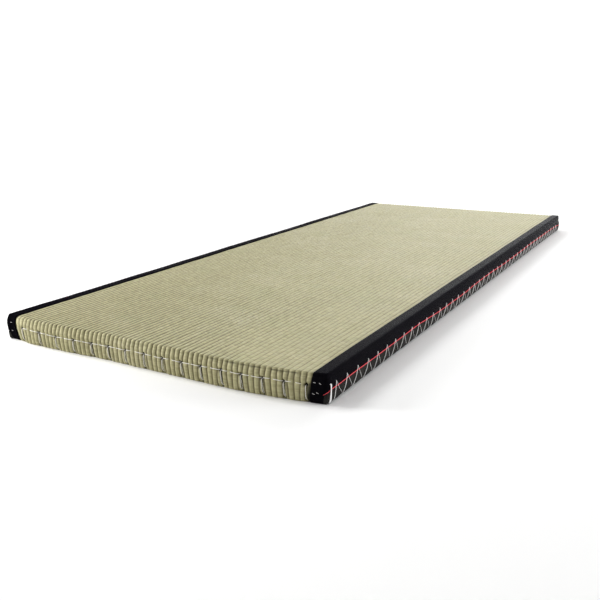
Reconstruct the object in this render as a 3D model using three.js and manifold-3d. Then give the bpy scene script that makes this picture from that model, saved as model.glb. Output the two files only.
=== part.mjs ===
// A straw-cored floor mat faced with woven rush, with a black cloth border sewn along each long side.
// Millimetres, +Z up. X runs across the mat, Y along it, and the origin is under its middle.
// Core and rush facing are one filled solid. The facing's ribs run along the mat and down both ends.
// Each border is one strip of cloth, folded over the long edge, round both corners and under the foot.
import * as THREE from "three";
import { mergeVertices } from "three/addons/utils/BufferGeometryUtils.js";
import Module from "manifold-3d";

const wasm = await Module();
wasm.setup();

// Driving dimensions
const LENGTH = 2000;
const WIDTH = 800;
const THICKNESS = 57.5;

// The swelling of the sides and ends, and the rounding of their edges
const BULGE = 4;
const BULGE_HEIGHT = 36;
const FOOT_INSET = 2.8;
const FOOT_ROUNDING = 4;
const BORDER_ROUNDING = 5;
const CORNER_RADIUS = 10;
const NEAR_LEFT_RADIUS = 4;
const ROUNDING_STEPS = 3;
const CORNER_STEPS = 4;

// The border cloth, and the clearance between one piece and the next
const CLOTH = 1.5;
const GAP = 0.3;

// The rush facing: its ribs, and how far they lie under the face of the border
const RIBS = 65;
const RIB_DEPTH = 1.1;
const RIB_SHOULDER = 0.25;
const FACING_SINK = 0.4;

// The sewn line across each end, where the facing is drawn in
const SEAM_HEIGHT = 32.5;
const SEAM_DEPTH = 1.2;
const SEAM_REACH = 8;

// How far the near end stands out past its corners, at places across the mat
const NEAR_END_BOW = [
  { across: -386, out: 0 },
  { across: -368, out: 2 },
  { across: -340, out: 8 },
  { across: -290, out: 10.5 },
  { across: -200, out: 11 },
  { across: -130, out: 8 },
  { across: -50, out: 11 },
  { across: 60, out: 14 },
  { across: 150, out: 17.5 },
  { across: 225, out: 18 },
  { across: 310, out: 12 },
  { across: 350, out: 6.5 },
  { across: 386, out: 0 },
];

// The rounding of the facing's top edge, which rolls more softly towards the left
const FACING_ROUNDING = { left: 13, right: 8 };
const ROUNDING_CHANGE = { from: 20, to: 110 };

// Where the inner edge of each border lies, from the foot of the mat to its top
const BORDER_EDGES = {
  right: [
    { height: 0, across: 364 },
    { height: 30, across: 367 },
    { height: THICKNESS, across: 369 },
  ],
  left: [
    { height: 0, across: -368 },
    { height: 33, across: -375 },
    { height: THICKNESS, across: -372 },
  ],
};

// The cutting blocks reach this far past what they cut, and the parts of the core overlap as far
const OVERREACH = 2;
const MERGE_DISTANCE = 1e-4;

const topEdge = (side) => BORDER_EDGES[side].at(-1).across;
const FACING_MIDDLE = (topEdge("left") + topEdge("right")) / 2;
const RIB_PITCH = (topEdge("right") - topEdge("left")) / RIBS;

const bow = new THREE.CubicInterpolant(
  NEAR_END_BOW.map((row) => row.across),
  NEAR_END_BOW.map((row) => row.out),
  1,
);
const bowAt = (x) => bow.evaluate(x)[0];

function facingRounding(x) {
  const share = THREE.MathUtils.smoothstep(x, ROUNDING_CHANGE.from, ROUNDING_CHANGE.to);
  return THREE.MathUtils.lerp(FACING_ROUNDING.left, FACING_ROUNDING.right, share);
}

// The places across the facing: a groove and two shoulders for each rib, one rib past each side.
function acrossFacing() {
  const places = [];
  const start = FACING_MIDDLE - (RIBS / 2 + 1) * RIB_PITCH;
  for (let rib = 0; rib < RIBS + 2; rib++) {
    const groove = start + rib * RIB_PITCH;
    places.push({ x: groove, dip: RIB_DEPTH });
    places.push({ x: groove + RIB_PITCH * RIB_SHOULDER, dip: 0 });
    places.push({ x: groove + RIB_PITCH * (1 - RIB_SHOULDER), dip: 0 });
  }
  places.push({ x: start + (RIBS + 2) * RIB_PITCH, dip: RIB_DEPTH });
  return places;
}

const LARGEST_BOW = Math.max(...acrossFacing().map(({ x }) => bowAt(x)));
const NEAR_CORNERS = LARGEST_BOW - FACING_SINK - LENGTH / 2;
const FAR_END = LENGTH / 2;
const nearLine = (x) => NEAR_CORNERS - bowAt(x);

// The upright outline of a side from foot to top. Each point holds how far it lies in from the
// widest line, its height, and the share of outward and upward in the way the surface faces there.
function sideOutline(shrink, topRounding) {
  const quarter = (step) => (Math.PI / 2) * (step / ROUNDING_STEPS);
  const steps = Array.from({ length: ROUNDING_STEPS + 1 }, (_, step) => step);
  const foot = FOOT_ROUNDING - shrink;
  const top = topRounding - shrink;
  return [
    ...steps.map((step) => ({
      inset: shrink + FOOT_INSET + foot * (1 - Math.sin(quarter(step))),
      height: shrink + foot * (1 - Math.cos(quarter(step))),
      out: Math.sin(quarter(step)),
      up: 0,
    })),
    { inset: shrink, height: BULGE_HEIGHT, out: 1, up: 0 },
    ...steps.map((step) => ({
      inset: shrink + BULGE + top * (1 - Math.cos(quarter(step))),
      height: THICKNESS - shrink - top * (1 - Math.sin(quarter(step))),
      out: Math.cos(quarter(step)),
      up: Math.sin(quarter(step)),
    })),
  ];
}

// The plan outline of the mat, drawn in by inset, anticlockwise from the near left corner.
function planOutline(inset) {
  const points = [];
  const side = WIDTH / 2 - inset;
  const near = NEAR_CORNERS + inset;
  const far = FAR_END - inset;
  const corner = (x, y, start, radius = CORNER_RADIUS) => {
    const middleX = x - Math.sign(x) * radius;
    const middleY = y - Math.sign(y) * radius;
    for (let step = 0; step <= CORNER_STEPS; step++) {
      const turn = start + (Math.PI / 2) * (step / CORNER_STEPS);
      points.push([middleX + radius * Math.cos(turn), middleY + radius * Math.sin(turn)]);
    }
  };
  corner(-side, near, Math.PI, NEAR_LEFT_RADIUS);
  for (const { across } of NEAR_END_BOW.slice(1, -1)) points.push([across, nearLine(across) + inset]);
  corner(side, near, -Math.PI / 2);
  corner(side, far, 0);
  corner(-side, far, Math.PI / 2);
  return points;
}

// A solid through rings of like count, each ring anticlockwise as seen from the way they advance.
// flatten gives a ring's point as the two numbers that its end face is filled in.
function lofted(rings, flatten) {
  const count = rings[0].length;
  const triangles = [];
  for (let k = 0; k + 1 < rings.length; k++) {
    for (let i = 0; i < count; i++) {
      const a = k * count + i;
      const b = k * count + ((i + 1) % count);
      triangles.push(a, b, b + count, a, b + count, a + count);
    }
  }
  const last = (rings.length - 1) * count;
  const outline = (ring) => ring.map((point) => new THREE.Vector2(...flatten(point)));
  for (const [a, b, c] of THREE.ShapeUtils.triangulateShape(outline(rings[0]), [])) {
    triangles.push(a, c, b);
  }
  for (const [a, b, c] of THREE.ShapeUtils.triangulateShape(outline(rings.at(-1)), [])) {
    triangles.push(last + a, last + b, last + c);
  }
  return geometryOf(rings.flat(2), triangles);
}

function geometryOf(positions, triangles) {
  const geometry = new THREE.BufferGeometry();
  geometry.setAttribute("position", new THREE.Float32BufferAttribute(positions, 3));
  geometry.setIndex(triangles);
  return geometry;
}

// The form of the whole mat, drawn in by shrink all round.
function matForm(shrink) {
  const rings = sideOutline(shrink, BORDER_ROUNDING).map(({ inset, height }) =>
    planOutline(inset).map(([x, y]) => [x, y, height]),
  );
  return lofted(rings, ([x, y]) => [x, y]);
}

// The facing's outline at an end, with the sewn line's draw-in between the foot and the bulge.
function endOutline(topRounding) {
  const outline = sideOutline(0, topRounding);
  const foot = outline[ROUNDING_STEPS];
  const seam = [
    { height: SEAM_HEIGHT - SEAM_REACH, drawn: 0 },
    { height: SEAM_HEIGHT, drawn: SEAM_DEPTH },
  ].map(({ height, drawn }) => {
    const share = (height - foot.height) / (BULGE_HEIGHT - foot.height);
    return { inset: foot.inset * (1 - share) + drawn, height, out: 1, up: 0 };
  });
  outline.splice(ROUNDING_STEPS + 1, 0, ...seam);
  return outline;
}

// The ribbed block: a loop up the far end, over the top and down the near end, carried across.
function ribbedBlock() {
  const rings = acrossFacing().map(({ x, dip }) => {
    const outline = endOutline(facingRounding(x));
    const loop = [
      ...outline.map((point) => ({ ...point, far: true })),
      ...outline.toReversed().map((point) => ({ ...point, far: false })),
    ];
    return loop.map(({ inset, height, out, up, far }) => {
      const drop = FACING_SINK + dip;
      const depth = inset + drop * out;
      return [x, far ? FAR_END - depth : nearLine(x) + depth, height - drop * up];
    });
  });
  return lofted(rings, ([, y, z]) => [y, z]);
}

// The inner edge of a border in the upright plane across the mat, moved sideways by shift.
function borderEdge(side, shift) {
  const points = BORDER_EDGES[side].map((row) => new THREE.Vector2(row.across + shift, row.height));
  const foot = new THREE.Vector2(points[0].x, -OVERREACH);
  const top = new THREE.Vector2(points.at(-1).x, THICKNESS + OVERREACH);
  return [foot, ...points, top];
}

// A cutting block of an outline in the upright plane across the mat, longer than the mat.
function blockAlong(outline) {
  const block = new THREE.ExtrudeGeometry(new THREE.Shape(outline), {
    depth: 2 * LENGTH,
    bevelEnabled: false,
  });
  block.rotateX(Math.PI / 2);
  block.translate(0, LENGTH, 0);
  return block;
}

// All that lies on a border's side of its inner edge.
function beyondBorderEdge(side, shift) {
  const edge = borderEdge(side, shift);
  const outer = Math.sign(edge[0].x) * WIDTH;
  const closing = [new THREE.Vector2(outer, edge.at(-1).y), new THREE.Vector2(outer, edge[0].y)];
  return solid(blockAlong([...edge, ...closing]));
}

// All that lies between the two borders' inner edges, less the clearance.
function betweenBorders() {
  const outline = [...borderEdge("right", -GAP), ...borderEdge("left", GAP).reverse()];
  return solid(blockAlong(outline));
}

// A closed geometry as a solid that can be cut and joined.
function solid(geometry) {
  const bare = geometry.clone();
  bare.deleteAttribute("normal");
  bare.deleteAttribute("uv");
  const merged = mergeVertices(bare, MERGE_DISTANCE);
  const mesh = new wasm.Mesh({
    numProp: 3,
    vertProperties: merged.attributes.position.array,
    triVerts: new Uint32Array(merged.index.array),
  });
  return new wasm.Manifold(mesh);
}

// A solid as a named mesh of one material.
function piece(name, made, material) {
  const { vertProperties, triVerts } = made.getMesh();
  const geometry = geometryOf([...vertProperties], [...triVerts]);
  geometry.computeVertexNormals();
  const mesh = new THREE.Mesh(geometry, material);
  mesh.name = name;
  return mesh;
}

// The rush-faced mat: the facing between the borders, and the core's sides under their cloth.
function rushMat() {
  const core = solid(matForm(CLOTH + GAP));
  const facing = solid(ribbedBlock()).intersect(betweenBorders());
  const underRight = core.intersect(beyondBorderEdge("right", -GAP - OVERREACH));
  const underLeft = core.intersect(beyondBorderEdge("left", GAP + OVERREACH));
  return facing.add(underRight).add(underLeft);
}

// One border: the skin of the mat's form beyond the border's inner edge.
function border(side) {
  const skin = solid(matForm(0)).subtract(solid(matForm(CLOTH)));
  return skin.intersect(beyondBorderEdge(side, 0));
}

const rush = new THREE.MeshStandardMaterial({ color: 0xb7b190, roughness: 0.8, metalness: 0 });
const blackCloth = new THREE.MeshStandardMaterial({ color: 0x1b1a1d, roughness: 0.75, metalness: 0 });

const mat = new THREE.Group();
mat.add(piece("rush_mat", rushMat(), rush));
mat.add(piece("border_right", border("right"), blackCloth));
mat.add(piece("border_left", border("left"), blackCloth));

export default mat;
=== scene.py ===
"""Dresses the straw-cored rush mat: ribbed woven facing, black cloth borders and all of the sewing.

The file is laid out as an add-on and is run as a script. Lengths are metres, in the frame's axes:
X across the mat, Y along it from its bowed near end, and Z up from the surface that it rests on.
"""

import math

import bmesh
import bpy
import numpy as np
from mathutils import Matrix, Vector


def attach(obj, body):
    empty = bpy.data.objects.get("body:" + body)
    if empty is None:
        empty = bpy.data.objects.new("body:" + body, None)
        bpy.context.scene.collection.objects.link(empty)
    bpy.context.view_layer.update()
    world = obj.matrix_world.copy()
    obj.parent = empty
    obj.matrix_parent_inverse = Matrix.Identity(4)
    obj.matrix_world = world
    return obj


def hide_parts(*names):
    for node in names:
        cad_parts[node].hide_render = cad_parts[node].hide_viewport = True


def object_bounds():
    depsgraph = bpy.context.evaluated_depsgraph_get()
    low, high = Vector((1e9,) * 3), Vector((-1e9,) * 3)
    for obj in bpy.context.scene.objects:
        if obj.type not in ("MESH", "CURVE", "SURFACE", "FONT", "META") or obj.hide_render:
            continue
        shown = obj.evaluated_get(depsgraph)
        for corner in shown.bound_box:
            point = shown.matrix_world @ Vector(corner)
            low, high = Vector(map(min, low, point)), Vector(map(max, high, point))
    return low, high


bl_info = {
    "name": "Rush mat dressing",
    "version": (1, 0, 0),
    "blender": (4, 5, 0),
    "location": "3D View > Sidebar > Mat",
    "description": "Woven rush facing, cloth borders and sewing for a straw-cored floor mat",
    "category": "Add Mesh",
}

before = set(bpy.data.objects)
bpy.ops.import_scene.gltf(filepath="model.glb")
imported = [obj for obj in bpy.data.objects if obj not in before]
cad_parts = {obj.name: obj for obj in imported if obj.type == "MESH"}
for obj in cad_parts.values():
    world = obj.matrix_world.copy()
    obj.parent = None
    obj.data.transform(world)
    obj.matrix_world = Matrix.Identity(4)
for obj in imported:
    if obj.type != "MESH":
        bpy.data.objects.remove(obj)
CAD_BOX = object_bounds()
BODY = "root"
MM = 0.001

# Form of the mat, as its solids have it
LOW, HIGH = CAD_BOX
HALF_WIDTH = HIGH.x
FAR_END = HIGH.y
THICKNESS = HIGH.z
BULGE = 4 * MM
BULGE_HEIGHT = 36 * MM
FOOT_INSET = 2.8 * MM
FOOT_ROUNDING = 4 * MM
BORDER_ROUNDING = 5 * MM
CORNER_RADIUS = 10 * MM
NEAR_LEFT_RADIUS = 4 * MM

# How far the ribs' crests lie inside the solid, and how far the left border stands out past its own
FACING_SINK = 0.5 * MM
LEFT_FULLNESS = 3.5 * MM

# Thickness of the borders' cloth, its width on the flat of the top, and where its inner edges start
# and end, measured from the mat's ends
CLOTH = 1.2 * MM
TOP_STRIP = 22 * MM
EDGE_MARGIN = 32 * MM

# Place across the mat past which an end's last tie stands straight
STRAIGHT_TIE = 0.35

# Place across the mat, and how far the near end stands out past its corners there, in millimetres
NEAR_END_BOW = np.array(
    [(-386, 0), (-368, 2), (-340, 8), (-290, 10.5), (-200, 11), (-130, 8), (-50, 11), (60, 14)]
    + [(150, 17.5), (225, 18), (310, 12), (350, 6.5), (386, 0)]
)

# Height, and the distance of each border's inner edge from the middle there, in millimetres
RIGHT_EDGE = np.array([(0, 364), (30, 367), (57.5, 369)])
LEFT_EDGE = np.array([(0, 368), (33, 375), (50, 375), (57.5, 369.5)])

# Place and height of each hole of the stitching across the near end, in millimetres
NEAR_TIES = np.array(
    [(-352.5, 32.8), (-296.5, 31.9), (-245.5, 30.6), (-195.5, 30.9), (-147.5, 30.5), (-101.5, 31.4)]
    + [(-53.5, 32.1), (-4, 33.0), (43, 32.0), (90, 32.2), (137, 33.3), (184, 34.8), (228, 34.2)]
    + [(272, 34.4), (315, 34.5), (357, 34.1)]
)

# Place along the right side from the mat's middle, and height of the red cord there, in millimetres
CORD_LINE = np.array(
    [(-972, 27.6), (-935, 27.3), (-895, 28.3), (-800, 28.5), (-680, 29.4), (-532, 30.2), (-486, 28.8)]
    + [(-437, 26.7), (-394, 25.8), (-303, 25.0), (-208, 25.8), (-122, 28.3), (-30, 29.2), (62, 28.6)]
    + [(147, 26.8), (238, 26.7), (391, 27.5), (516, 28.7), (653, 28.8), (783, 27.7), (868, 26.9)]
    + [(959, 24.0), (985, 22.5)]
)

# The same for the upper points of the zigzag
ZIGZAG_LINE = np.array(
    [(-972, 38.0), (-905, 36.0), (-812, 35.0), (-580, 34.2), (-490, 32.4), (-300, 32.3), (-215, 30.6)]
    + [(-122, 31.0), (0, 32.5), (200, 30.6), (500, 32.4), (700, 32.2), (985, 27.5)]
)

# The first stitches from the near right corner: near foot, upper point and far foot, in millimetres
FIRST_STITCHES = np.array(
    [(18.5, 22, 48), (54.6, 66.6, 90), (96.8, 112.5, 134), (145.8, 160, 180.5), (192.8, 205, 224)]
)


def length(name, description, value):
    return bpy.props.FloatProperty(name=name, description=description, default=value, unit="LENGTH")


def colour(name, description, value):
    return bpy.props.FloatVectorProperty(
        name=name, description=description, subtype="COLOR", size=3, min=0, max=1, default=value
    )


class MatSizes(bpy.types.PropertyGroup):
    """Sizes of the facing, the borders and the sewing."""

    ribs: bpy.props.IntProperty(name="Ribs", description="Ribs between the borders", default=65)
    top_relief: length("Top relief", "Depth of the grooves on top, where the ribs are flat", 1.3 * MM)
    end_relief: length("End relief", "Depth of the grooves down the ends", 2.5 * MM)
    stalk: length("Stalk", "Width of one rush stalk across a rib", 1.9 * MM)
    stitch_pitch: length("Side stitch", "Length of one zigzag stitch along a side", 46 * MM)
    cord_radius: length("Red cord", "Radius of the red cord", 0.7 * MM)
    thread_radius: length("Thread", "Radius of one strand of the white thread", 0.55 * MM)


class MatColours(bpy.types.PropertyGroup):
    """Colours of the rush, the cloth and the threads."""

    pale_rush: colour("Pale rush", "The palest stalks", (0.58, 0.54, 0.303))
    deep_rush: colour("Deep rush", "The darkest stalks", (0.325, 0.297, 0.148))
    green_rush: colour("Green rush", "Stalks that have kept some green", (0.38, 0.395, 0.195))
    # The groove colour is painted shade: the rush darkens towards it in the grooves between ribs and
    # between stalks
    groove: colour("Groove Shade", "Rush in the grooves between ribs", (0.12, 0.10, 0.043))
    backing: colour("Backing", "Woven straw sheet under the mat", (0.33, 0.29, 0.18))
    cloth: colour("Border cloth", "Black cloth of the borders", (0.0016, 0.0014, 0.0021))
    cloth_light: colour("Cloth crests", "Raised yarns of the black cloth", (0.0045, 0.0041, 0.0056))
    selvage: colour("Selvage", "Charcoal band below the red cord", (0.006, 0.0057, 0.0055))
    selvage_light: colour("Selvage crests", "Raised yarns of the band", (0.044, 0.042, 0.038))
    white_thread: colour("White thread", "Waxed hemp sewing thread", (0.98, 0.975, 0.96))
    end_thread: colour("End thread", "Thread of the stitches across the ends", (0.95, 0.925, 0.85))
    red_thread: colour("Red cord", "Red cotton cord along the sides", (0.95, 0.075, 0.095))
    floor: colour("Floor", "Pale floor and backdrop", (0.985, 0.985, 0.98))


class MatStage(bpy.types.PropertyGroup):
    """Place and lens of the camera."""

    camera_place: bpy.props.FloatVectorProperty(
        name="Camera place",
        description="Where the camera stands",
        default=(0.96425, -2.08837, 0.53213),
        subtype="TRANSLATION",
        unit="LENGTH",
    )
    camera_forward: bpy.props.FloatVectorProperty(
        name="Camera direction",
        description="The way the camera looks",
        default=(-0.47134, 0.84162, -0.26364),
        subtype="DIRECTION",
    )
    camera_roll: bpy.props.FloatProperty(
        name="Camera roll",
        description="Turn of the camera about its own line of sight",
        default=math.radians(-0.27),
        subtype="ANGLE",
    )
    lens: bpy.props.FloatProperty(
        name="Lens", description="Focal length on a 36 mm sensor, in millimetres", default=45.988
    )


def sizes():
    return bpy.context.scene.mat_sizes


def colours():
    return bpy.context.scene.mat_colours


# Curves and noise


def through(table, at):
    """A smooth curve through a table's rows, level past both ends. Millimetres in the table."""
    x, y = table[:, 0] * MM, table[:, 1] * MM
    slope = np.gradient(y, x)
    at = np.clip(at, x[0], x[-1])
    i = np.clip(np.searchsorted(x, at, side="right") - 1, 0, len(x) - 2)
    span = x[i + 1] - x[i]
    t = (at - x[i]) / span
    near = (1 + 2 * t) * (1 - t) ** 2 * y[i] + t * (1 - t) ** 2 * span * slope[i]
    far = t * t * (3 - 2 * t) * y[i + 1] + t * t * (t - 1) * span * slope[i + 1]
    return near + far


def smoothstep(low, high, x):
    t = np.clip((x - low) / (high - low), 0, 1)
    return t * t * (3 - 2 * t)


def bell(distance, width):
    return np.exp(-((distance / width) ** 2))


class Noise:
    """Smooth noise from -1 to 1 over a plane, the same on every run."""

    SIZE = 256

    def __init__(self, seed):
        self.lattice = np.random.RandomState(seed).uniform(-1, 1, (self.SIZE, self.SIZE))

    def __call__(self, u, v=0.0):
        u, v = np.broadcast_arrays(np.asarray(u, float), np.asarray(v, float))
        i, j = np.floor(u).astype(int), np.floor(v).astype(int)
        a, b = smoothstep(0, 1, u - i), smoothstep(0, 1, v - j)

        def at(p, q):
            return self.lattice[p % self.SIZE, q % self.SIZE]

        low = at(i, j) * (1 - a) + at(i + 1, j) * a
        high = at(i, j + 1) * (1 - a) + at(i + 1, j + 1) * a
        return low * (1 - b) + high * b


def slow_swell(x, y):
    """Long soft undulations over the mat, from 0 to about 1."""
    draw = np.random.RandomState(8)
    waves, full_turn = 7, 6.283
    total = 0.0
    for _ in range(waves):
        heading, wave, shift = draw.uniform(0, math.pi), draw.uniform(0.16, 0.6), draw.uniform(0, 7)
        along = x * math.cos(heading) + y * math.sin(heading)
        total = total + np.sin(along * full_turn / wave + shift)
    return 0.5 + total / (2 * waves)


NEAR_CORNERS = LOW.y + through(NEAR_END_BOW, np.linspace(0.15, 0.3, 200)).max() - FACING_SINK


def near_line(x):
    return NEAR_CORNERS - through(NEAR_END_BOW, x)


def inner_edge(side, z):
    """How far from the middle the border of that side starts, at height z."""
    table = RIGHT_EDGE if side > 0 else LEFT_EDGE
    return np.interp(z, table[:, 0] * MM, table[:, 1] * MM)


def facing_rounding(x):
    """Radius of the facing's top edge at an end, which rolls more softly towards the left."""
    beside_border = smoothstep(-340 * MM, -370 * MM, x)
    return 8 * MM - 1.5 * MM * smoothstep(20 * MM, 110 * MM, x) - 2 * MM * beside_border


def wall_inset(z, top_rounding):
    """How far an upright face lies in from its widest line, at height z."""
    foot_end, top_start = FOOT_ROUNDING, THICKNESS - top_rounding
    low = FOOT_INSET * np.clip((BULGE_HEIGHT - z) / (BULGE_HEIGHT - foot_end), 0, 1) ** 2
    high = BULGE * np.clip((z - BULGE_HEIGHT) / (top_start - BULGE_HEIGHT), 0, 1) ** 2
    foot = np.clip(1 - z / FOOT_ROUNDING, 0, 1)
    top = np.clip((z - top_start) / top_rounding, 0, 1)
    low = low + FOOT_ROUNDING * (1 - np.sqrt(1 - foot**2))
    return low + high + top_rounding * (1 - np.sqrt(1 - top**2))


# Meshes


def new_object(name, mesh, materials):
    for material in materials:
        mesh.materials.append(material)
    made = bpy.data.objects.new(name, mesh)
    bpy.context.scene.collection.objects.link(made)
    return made


def mesh_from(name, vertices, faces, uv=None, values=None):
    """A smooth mesh from arrays. uv maps a name to a pair for each face corner, and values to a number
    for each vertex."""
    mesh = bpy.data.meshes.new(name)
    mesh.from_pydata(vertices.tolist(), [], faces)
    for layer, pairs in (uv or {}).items():
        mesh.uv_layers.new(name=layer).data.foreach_set("uv", np.asarray(pairs, np.float32).ravel())
    for attribute, numbers in (values or {}).items():
        made = mesh.attributes.new(attribute, "FLOAT", "POINT")
        made.data.foreach_set("value", np.asarray(numbers, np.float32).ravel())
    mesh.polygons.foreach_set("use_smooth", [True] * len(mesh.polygons))
    mesh.update()
    return mesh


def grid_faces(rows, columns, wrap=False):
    """Quads over a grid of points stored row by row."""
    last = rows if wrap else rows - 1
    r = np.arange(last)[:, None]
    c = np.arange(columns - 1)[None, :]
    below, above = r * columns, ((r + 1) % rows) * columns
    quads = np.stack([below + c, below + c + 1, above + c + 1, above + c], axis=-1)
    return quads.reshape(-1, 4)


def face_outwards(mesh):
    made = bmesh.new()
    made.from_mesh(mesh)
    bmesh.ops.recalc_face_normals(made, faces=made.faces)
    made.to_mesh(mesh)
    made.free()


# Shader graphs


class Graph:
    """A node tree, with short calls for the nodes that the finishes are made of."""

    def __init__(self, tree):
        self.tree = tree

    def node(self, kind, inputs=None, **settings):
        made = self.tree.nodes.new(kind)
        for key, value in settings.items():
            setattr(made, key, value)
        for key, value in (inputs or {}).items():
            self.put(made.inputs[key], value)
        return made

    def put(self, socket, value):
        if isinstance(value, bpy.types.NodeSocket):
            self.tree.links.new(value, socket)
        else:
            socket.default_value = value

    def math(self, operation, a, b=0.0, c=0.0, clamp=False):
        node = self.node("ShaderNodeMath", operation=operation, use_clamp=clamp)
        for socket, value in zip(node.inputs, (a, b, c)):
            self.put(socket, value)
        return node.outputs[0]

    def times(self, a, b, clamp=False):
        return self.math("MULTIPLY", a, b, clamp=clamp)

    def plus(self, a, b, clamp=False):
        return self.math("ADD", a, b, clamp=clamp)

    def scaled(self, value, factor, added):
        return self.math("MULTIPLY_ADD", value, factor, added)

    def odd(self, number):
        """1 for an odd whole number, 0 for an even one."""
        return self.math("MODULO", self.math("ABSOLUTE", number), 2.0)

    def remap(self, value, low, high, to_low=0.0, to_high=1.0):
        ends = {"Value": value, "From Min": low, "From Max": high}
        ends.update({"To Min": to_low, "To Max": to_high})
        return self.node("ShaderNodeMapRange", ends, interpolation_type="SMOOTHSTEP").outputs[0]

    def mix(self, share, a, b):
        node = self.node("ShaderNodeMix", data_type="RGBA")
        self.put(node.inputs[0], share)
        self.put(node.inputs[6], a)
        self.put(node.inputs[7], b)
        return node.outputs[2]

    def vector(self, x, y):
        return self.node("ShaderNodeCombineXYZ", {"X": x, "Y": y}).outputs[0]

    def noise(self, vector, scale, detail=2.0):
        inputs = {"Vector": vector, "Scale": scale, "Detail": detail}
        return self.node("ShaderNodeTexNoise", inputs).outputs["Fac"]

    def streaks(self, across, squeeze, along, scale, detail=2.0):
        """Noise over a plane that is squeezed across."""
        return self.noise(self.vector(self.times(across, squeeze), along), scale, detail)

    def random(self, x, y):
        """One even random value for each pair of whole numbers."""
        node = self.node("ShaderNodeTexWhiteNoise", {"Vector": self.vector(x, y)})
        return node.outputs["Value"]

    def attribute(self, name):
        return self.node("ShaderNodeAttribute", attribute_name=name).outputs["Fac"]

    def woven_place(self):
        """Where a point lies on the flat cloth or weave, as across and along, in metres."""
        place = self.node("ShaderNodeUVMap", uv_map="weave").outputs[0]
        parts = self.node("ShaderNodeSeparateXYZ", {"Vector": place})
        return place, parts.outputs["X"], parts.outputs["Y"]

    def hump(self, phase):
        """A rounded hump for each whole turn of phase."""
        return self.math("SINE", self.times(self.math("FRACT", phase), math.pi))


def shader_group(name, inputs, outputs, build):
    """A node group with named sockets. build gets its graph and inputs, and returns its outputs."""
    tree = bpy.data.node_groups.new(name, "ShaderNodeTree")
    for way, sockets in (("INPUT", inputs), ("OUTPUT", outputs)):
        for label, kind in sockets.items():
            tree.interface.new_socket(name=label, in_out=way, socket_type=kind)
    graph = Graph(tree)
    given = tree.nodes.new("NodeGroupInput").outputs
    end = tree.nodes.new("NodeGroupOutput")
    for label, socket in build(graph, given).items():
        graph.put(end.inputs[label], socket)
    return tree


def build_woven_rush(graph, given):
    """Rush stalks laid side by side across each rib, every other rib half a stalk on."""
    place, across, along = graph.woven_place()
    drift = graph.math("SUBTRACT", graph.noise(place, 14.0), 0.5)
    along = graph.scaled(drift, 0.006, along)
    rib = graph.math("DIVIDE", across, given["Rib Pitch"])
    rib_number = graph.math("FLOOR", rib)
    crown = graph.hump(rib)
    turn = graph.odd(rib_number)
    stalk = graph.math("DIVIDE", along, given["Stalk Pitch"])
    stalk = graph.scaled(turn, 0.5, stalk)
    stalk_number = graph.math("FLOOR", stalk)
    roundness = graph.math("POWER", graph.hump(stalk), 0.6)

    # Tone of one stalk along its whole length, where it crosses this rib, and of a few side by side
    whole_stalk = graph.random(stalk_number, turn)
    this_rib = graph.random(stalk_number, rib_number)
    few = graph.streaks(rib_number, 7.31, stalk, 0.31, 1.0)
    few = graph.remap(few, 0.32, 0.68)
    tone = graph.scaled(whole_stalk, 0.22, -0.03)
    tone = graph.scaled(this_rib, 0.34, tone)
    tone = graph.scaled(few, 0.36, tone)
    streak = graph.streaks(rib_number, 0.29, along, 17.0)
    tone = graph.plus(tone, graph.remap(streak, 0.3, 0.7, -0.05, 0.05))
    patch = graph.streaks(across, 0.6, along, 7.0)
    tone = graph.plus(tone, graph.remap(patch, 0.3, 0.7, -0.04, 0.04), clamp=True)
    mixed = graph.mix(tone, given["Deep"], given["Pale"])
    green = graph.remap(graph.random(stalk_number, graph.plus(turn, 7.0)), 0.70, 0.95)
    green = graph.math("MAXIMUM", green, graph.remap(graph.noise(place, 9.0), 0.52, 0.72))
    mixed = graph.mix(graph.times(green, 0.32), mixed, given["Green"])
    # Painted shade in the gaps between stalks, towards the groove's colour
    gap = graph.remap(roundness, 0.0, 0.75, 0.30, 0.0)
    mixed = graph.mix(gap, mixed, given["Groove Shade"])

    # Painted shade in the groove between two ribs, which shows as dashes where the stalks leave it open
    groove_number = graph.math("FLOOR", graph.plus(rib, 0.5))
    dash = graph.streaks(groove_number, 0.37, along, 44.0)
    dash = graph.remap(dash, 0.38, 0.60, 0.62, 1.0)
    other = graph.odd(groove_number)
    dash = graph.times(dash, graph.scaled(other, -0.12, 1.0))
    # Open and On End make the grooves' painted shade darker and wider
    dash = graph.times(dash, given["Open"])
    dash = graph.math("MAXIMUM", dash, given["On End"])
    reach = graph.scaled(given["Open"], 0.07, 0.48)
    reach = graph.scaled(given["On End"], 0.20, reach)
    groove = graph.times(graph.remap(crown, 0.0, reach, 0.95, 0.0), dash, clamp=True)
    mixed = graph.mix(groove, mixed, given["Groove Shade"])
    # Painted shadow: the rush turns towards the Dark colour in the stitch holes, beside the ties, in
    # the slot and crease
    mixed = graph.mix(given["Painted Shade"], mixed, given["Dark"])
    fibre = graph.streaks(across, 0.12, along, 5200.0, 1.0)
    height = graph.scaled(fibre, 0.18, graph.times(roundness, 0.6))
    height = graph.times(height, graph.remap(crown, 0.0, 0.5, 0.35, 1.0))
    height = graph.scaled(this_rib, 0.25, height)
    height = graph.scaled(few, 0.3, height)
    roughness = graph.scaled(this_rib, 0.16, 0.50)
    return {"Color": mixed, "Height": height, "Roughness": roughness}


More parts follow.
